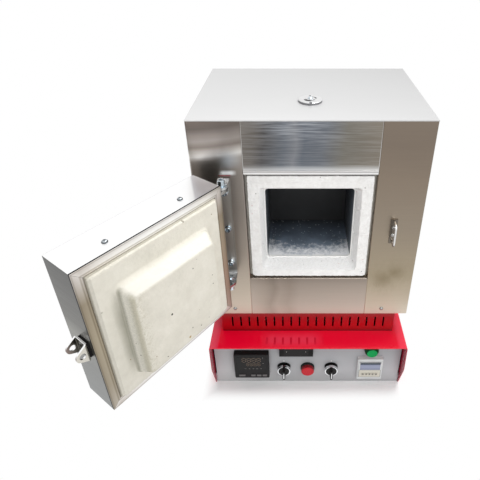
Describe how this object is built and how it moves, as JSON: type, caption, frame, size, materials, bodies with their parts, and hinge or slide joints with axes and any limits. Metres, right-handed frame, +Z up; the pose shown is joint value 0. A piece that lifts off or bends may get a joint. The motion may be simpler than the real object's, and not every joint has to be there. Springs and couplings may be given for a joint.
{
  "type": "muffle furnace",
  "caption": "Bench muffle furnace: stainless insulated casing with a ceramic-plug swing door, top vent damper, slotted plinth and a hooded control base.",
  "frame": {"origin": "on the standing face, on the centre plane, straight below the casing's front face", "axes": "+X to the right seen from the front, +Y to the back, +Z up"},
  "size_m": [0.5286, 0.5654, 0.6067],
  "materials": {
    "stainless_sheet": "satin brushed stainless sheet",
    "stainless_fittings": "polished stainless strip",
    "zinc_screws": "bright zinc plate",
    "throat_ceramic": "white vacuum-formed fibre ceramic",
    "muffle_ceramic": "dark fired refractory",
    "castable_ceramic": "cream cast refractory",
    "fibre_board": "ceramic fibre board",
    "heating_alloy": "oxidised resistance alloy",
    "red_powder_coat": "glossy red powder coat",
    "grey_powder_coat": "light grey powder coat",
    "black_plastic": "moulded black plastic",
    "grey_plastic": "moulded pale grey plastic",
    "rubber_keys": "moulded rubber key",
    "dark_window": "smoked acrylic",
    "chrome_bezel": "bright chrome",
    "selector_black": "moulded black plastic",
    "red_lens": "red translucent plastic",
    "green_lens": "green translucent plastic",
    "extruded_aluminium": "plain extrusion"
  },
  "bodies": {
    "furnace": {"side_panel_left": "stainless_sheet", "side_panel_right": "stainless_sheet", "top_panel": "stainless_sheet", "rear_panel": "stainless_sheet", "floor_panel": "stainless_sheet", "front_head_panel": "stainless_sheet", "front_sill_panel": "stainless_sheet", "drip_strip": "stainless_sheet", "casing_screws": "zinc_screws", "front_collar": "throat_ceramic", "muffle_chamber": "muffle_ceramic", "heating_winding": "heating_alloy", "insulation_boards": "fibre_board", "thermocouple": "heating_alloy", "terminal_blocks": "throat_ceramic", "vent_tube": "stainless_fittings", "vent_flange": "stainless_fittings", "vent_rivet": "zinc_screws", "hinge_strap": "stainless_fittings", "hinge_strap_screws": "zinc_screws", "pivot_bolts": "zinc_screws", "latch_staple": "stainless_fittings", "plinth": "red_powder_coat", "base_cover": "red_powder_coat", "base_tray": "grey_powder_coat", "control_panel": "grey_powder_coat", "base_rear_panel": "grey_powder_coat", "cable_gland": "black_plastic", "relay_heat_sink": "extruded_aluminium", "solid_state_relay": "black_plastic", "controller_case": "black_plastic", "meter_case": "black_plastic", "timer_case": "grey_plastic", "timer_frame": "grey_plastic", "instrument_windows": "dark_window", "selector_bezels": "chrome_bezel", "lamp_bezels": "black_plastic", "red_lamp_lens": "red_lens", "green_lamp_lens": "green_lens"},
    "door": {"door_tray": "stainless_sheet", "door_frame": "stainless_sheet", "door_plug": "castable_ceramic", "door_insulation": "fibre_board", "door_hinge_bracket": "stainless_fittings", "door_screws": "zinc_screws", "latch_clevis": "stainless_fittings", "latch_spacer": "black_plastic", "latch_bolt": "zinc_screws"},
    "selector_left": {"selector_left_knob": "selector_black"},
    "selector_right": {"selector_right_knob": "selector_black"},
    "damper": {"vent_damper": "stainless_fittings"},
    "controller_key_1_body": {"controller_key_1": "rubber_keys"},
    "controller_key_2_body": {"controller_key_2": "rubber_keys"},
    "controller_key_3_body": {"controller_key_3": "rubber_keys"},
    "controller_key_4_body": {"controller_key_4": "rubber_keys"},
    "timer_key_1_body": {"timer_key_1": "grey_plastic"},
    "timer_key_2_body": {"timer_key_2": "grey_plastic"},
    "timer_key_3_body": {"timer_key_3": "grey_plastic"},
    "timer_key_4_body": {"timer_key_4": "grey_plastic"},
    "timer_key_5_body": {"timer_key_5": "grey_plastic"}
  },
  "joints": [
    {"name": "door_swing", "type": "hinge", "parent": "furnace", "child": "door", "pos_m": [-0.1435, -0.03, 0.39], "axis": [0, 0, 1], "range_deg": [-20, 126]},
    {"name": "selector_left_turn", "type": "hinge", "parent": "furnace", "child": "selector_left", "pos_m": [-0.0496, -0.03, 0.048], "axis": [0, 1, 0], "range_deg": [-45, 45]},
    {"name": "selector_right_turn", "type": "hinge", "parent": "furnace", "child": "selector_right", "pos_m": [0.0496, -0.03, 0.048], "axis": [0, 1, 0], "range_deg": [-45, 45]},
    {"name": "damper_turn", "type": "hinge", "parent": "furnace", "child": "damper", "pos_m": [0, 0.085, 0.602], "axis": [0, 0, 1], "range_deg": [-55, 35]},
    {"name": "controller_key_1_press", "type": "slide", "parent": "furnace", "child": "controller_key_1_body", "axis": [0, 1, 0], "range_m": [0, 0.0008], "stiffness_N_per_m": 500},
    {"name": "controller_key_2_press", "type": "slide", "parent": "furnace", "child": "controller_key_2_body", "axis": [0, 1, 0], "range_m": [0, 0.0008], "stiffness_N_per_m": 500},
    {"name": "controller_key_3_press", "type": "slide", "parent": "furnace", "child": "controller_key_3_body", "axis": [0, 1, 0], "range_m": [0, 0.0008], "stiffness_N_per_m": 500},
    {"name": "controller_key_4_press", "type": "slide", "parent": "furnace", "child": "controller_key_4_body", "axis": [0, 1, 0], "range_m": [0, 0.0008], "stiffness_N_per_m": 500},
    {"name": "timer_key_1_press", "type": "slide", "parent": "furnace", "child": "timer_key_1_body", "axis": [0, 1, 0], "range_m": [0, 0.0008], "stiffness_N_per_m": 500},
    {"name": "timer_key_2_press", "type": "slide", "parent": "furnace", "child": "timer_key_2_body", "axis": [0, 1, 0], "range_m": [0, 0.0008], "stiffness_N_per_m": 500},
    {"name": "timer_key_3_press", "type": "slide", "parent": "furnace", "child": "timer_key_3_body", "axis": [0, 1, 0], "range_m": [0, 0.0008], "stiffness_N_per_m": 500},
    {"name": "timer_key_4_press", "type": "slide", "parent": "furnace", "child": "timer_key_4_body", "axis": [0, 1, 0], "range_m": [0, 0.0008], "stiffness_N_per_m": 500},
    {"name": "timer_key_5_press", "type": "slide", "parent": "furnace", "child": "timer_key_5_body", "axis": [0, 1, 0], "range_m": [0, 0.0008], "stiffness_N_per_m": 500}
  ]
}
